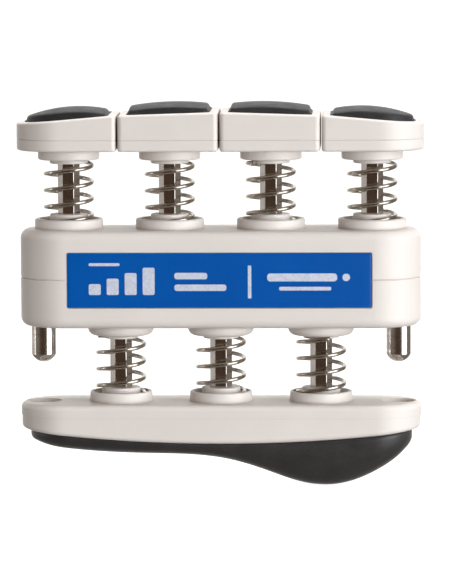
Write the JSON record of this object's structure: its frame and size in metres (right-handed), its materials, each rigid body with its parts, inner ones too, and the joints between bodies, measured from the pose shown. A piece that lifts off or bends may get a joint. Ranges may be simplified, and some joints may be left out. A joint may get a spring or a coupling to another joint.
{
  "type": "finger exerciser",
  "caption": "Hand-held finger and grip trainer: sprung finger buttons with rubber pads on a white housing, pressed against a sprung palm base with a moulded rubber heel pad.",
  "frame": {"origin": "under the middle of the housing, level with the lowest point of the palm pad", "axes": "+X along the row of finger buttons towards the thick end of the palm pad, +Y to the back, +Z from the palm pad up to the finger pads"},
  "size_m": [0.082, 0.019, 0.0776],
  "materials": {
    "white_plastic": "satin moulded",
    "white_bush": "satin acetal",
    "black_rubber": "matte moulded, fine grain",
    "blue_label": "printed film, satin",
    "polished_steel": "nickel plated, polished",
    "spring_wire": "nickel plated, drawn",
    "zinc_steel": "zinc plated"
  },
  "bodies": {
    "housing": {"housing_upper_shell": "white_plastic", "housing_lower_shell": "white_plastic", "front_label": "blue_label", "guide_pin_left": "polished_steel", "guide_pin_right": "polished_steel", "housing_screws": "zinc_steel", "finger_1_bush": "white_bush", "finger_2_bush": "white_bush", "finger_3_bush": "white_bush", "finger_4_bush": "white_bush", "finger_1_spring": "spring_wire", "finger_2_spring": "spring_wire", "finger_3_spring": "spring_wire", "finger_4_spring": "spring_wire", "base_bush_left": "white_bush", "base_bush_middle": "white_bush", "base_bush_right": "white_bush", "base_spring_left": "spring_wire", "base_spring_middle": "spring_wire", "base_spring_right": "spring_wire"},
    "finger_1": {"finger_1_cap": "white_plastic", "finger_1_collar": "white_plastic", "finger_1_pad": "black_rubber", "finger_1_shaft": "polished_steel", "finger_1_clip": "zinc_steel"},
    "finger_2": {"finger_2_cap": "white_plastic", "finger_2_collar": "white_plastic", "finger_2_pad": "black_rubber", "finger_2_shaft": "polished_steel", "finger_2_clip": "zinc_steel"},
    "finger_3": {"finger_3_cap": "white_plastic", "finger_3_collar": "white_plastic", "finger_3_pad": "black_rubber", "finger_3_shaft": "polished_steel", "finger_3_clip": "zinc_steel"},
    "finger_4": {"finger_4_cap": "white_plastic", "finger_4_collar": "white_plastic", "finger_4_pad": "black_rubber", "finger_4_shaft": "polished_steel", "finger_4_clip": "zinc_steel"},
    "palm_base": {"base_cover": "white_plastic", "base_shell": "white_plastic", "base_screws": "zinc_steel", "palm_pad": "black_rubber", "base_shaft_left": "polished_steel", "base_shaft_middle": "polished_steel", "base_shaft_right": "polished_steel", "base_clip_left": "zinc_steel", "base_clip_middle": "zinc_steel", "base_clip_right": "zinc_steel"}
  },
  "joints": [
    {"name": "finger_1_press", "type": "slide", "parent": "housing", "child": "finger_1", "axis": [0, 0, -1], "range_m": [0, 0.0085], "stiffness_N_per_m": 2000, "springref_m": -0.002, "deforming": ["finger_1_spring"]},
    {"name": "finger_2_press", "type": "slide", "parent": "housing", "child": "finger_2", "axis": [0, 0, -1], "range_m": [0, 0.0085], "stiffness_N_per_m": 2000, "springref_m": -0.002, "deforming": ["finger_2_spring"]},
    {"name": "finger_3_press", "type": "slide", "parent": "housing", "child": "finger_3", "axis": [0, 0, -1], "range_m": [0, 0.0085], "stiffness_N_per_m": 2000, "springref_m": -0.002, "deforming": ["finger_3_spring"]},
    {"name": "finger_4_press", "type": "slide", "parent": "housing", "child": "finger_4", "axis": [0, 0, -1], "range_m": [0, 0.0085], "stiffness_N_per_m": 2000, "springref_m": -0.002, "deforming": ["finger_4_spring"]},
    {"name": "palm_press", "type": "slide", "parent": "housing", "child": "palm_base", "axis": [0, 0, 1], "range_m": [0, 0.009], "stiffness_N_per_m": 6000, "springref_m": -0.002, "deforming": ["base_spring_left", "base_spring_middle", "base_spring_right"]}
  ]
}
